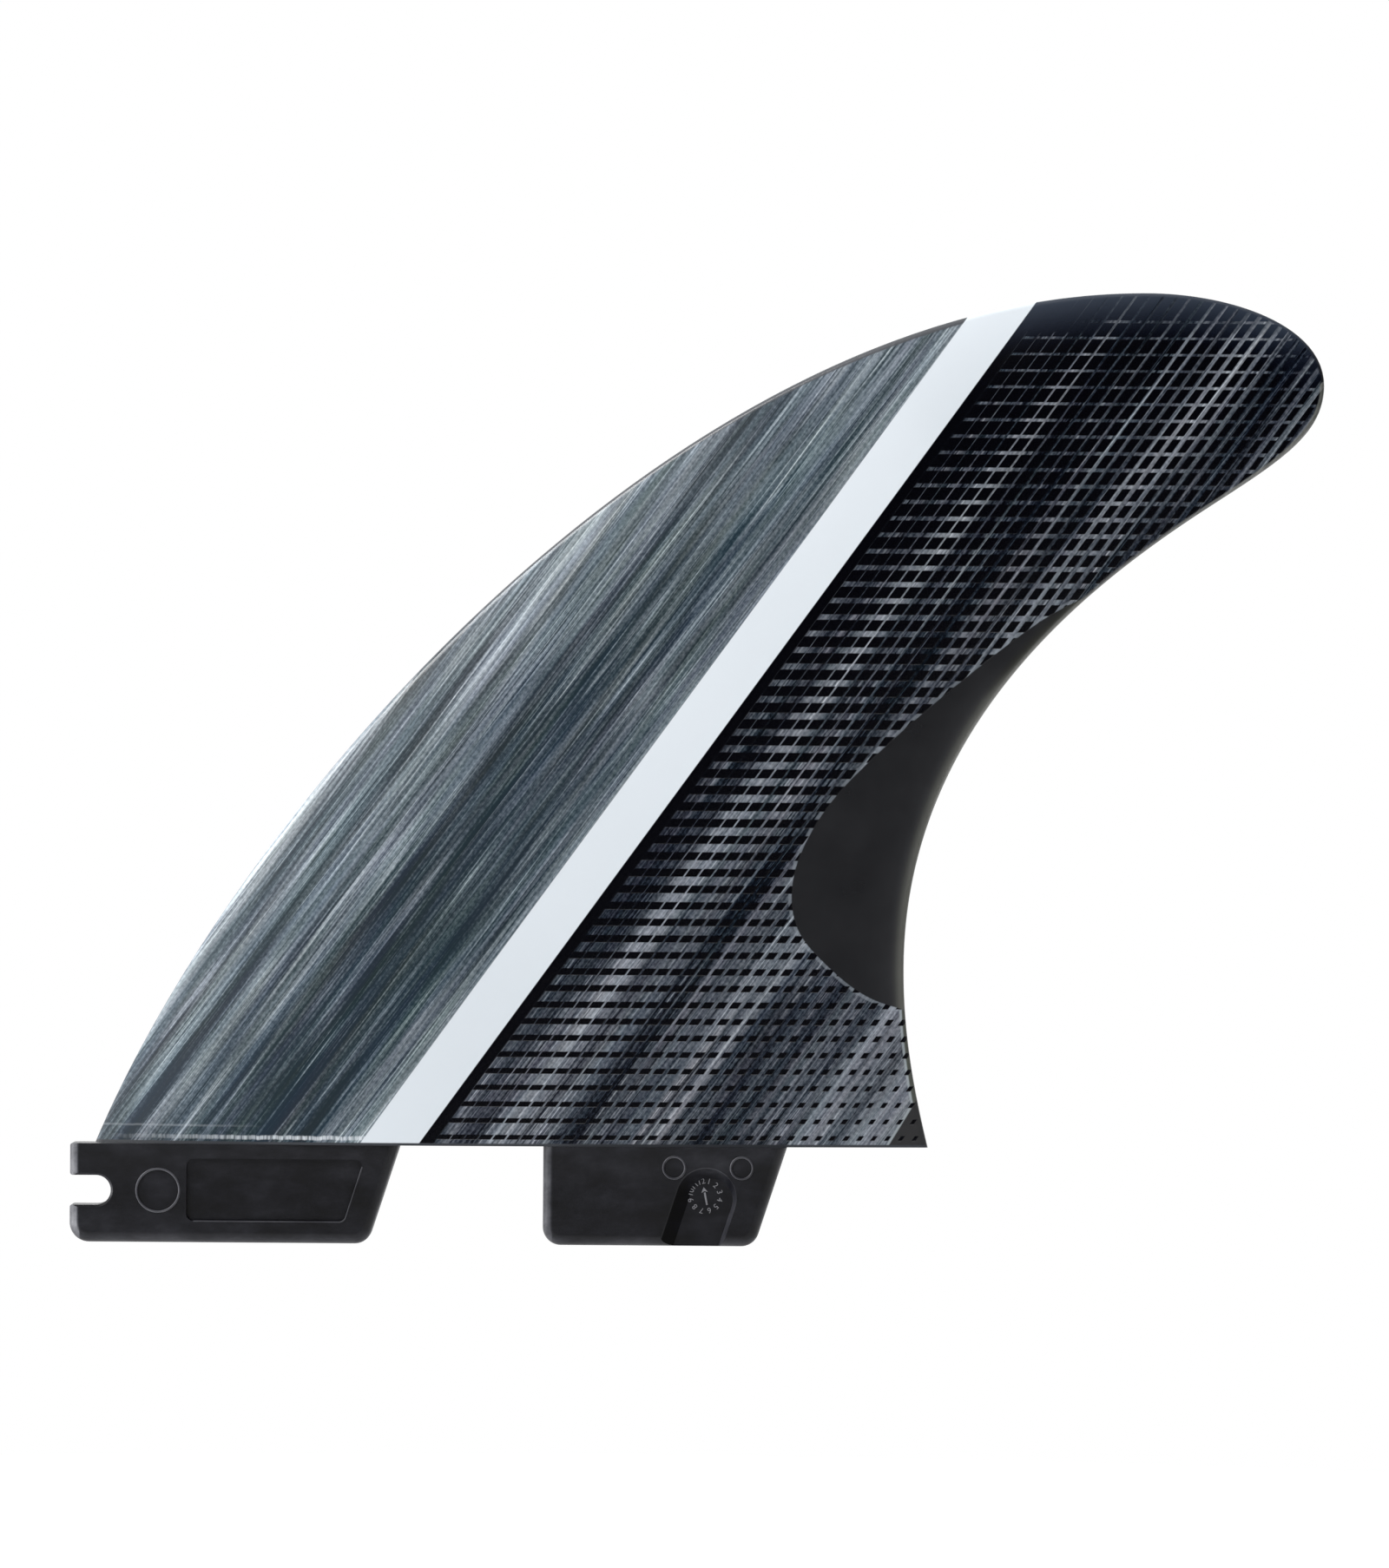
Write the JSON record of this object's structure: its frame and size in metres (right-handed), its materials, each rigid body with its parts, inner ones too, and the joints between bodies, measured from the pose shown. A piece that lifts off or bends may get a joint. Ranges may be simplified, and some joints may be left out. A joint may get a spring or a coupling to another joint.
{
  "type": "surfboard fin",
  "caption": "Swept surfboard side fin: a foiled laminate blade, flat inside, on moulded base tabs with a pin notch and a roller channel.",
  "frame": {"origin": "middle of the base line, on the base plane that seats on the board, half way through the thickness of the tabs", "axes": "+X from the leading edge to the trailing edge, +Y out of the flat inner face, +Z from the base to the tip"},
  "size_m": [0.1722, 0.007, 0.1319],
  "materials": {
    "laminate": "clear gloss resin over streaked grey fibre cloth, with a black printed mesh and a pale diagonal stripe",
    "tab_nylon": "satin moulded black, fine grain"
  },
  "bodies": {
    "root": {"blade": "laminate", "front_tab": "tab_nylon", "rear_tab": "tab_nylon"}
  },
  "joints": []
}
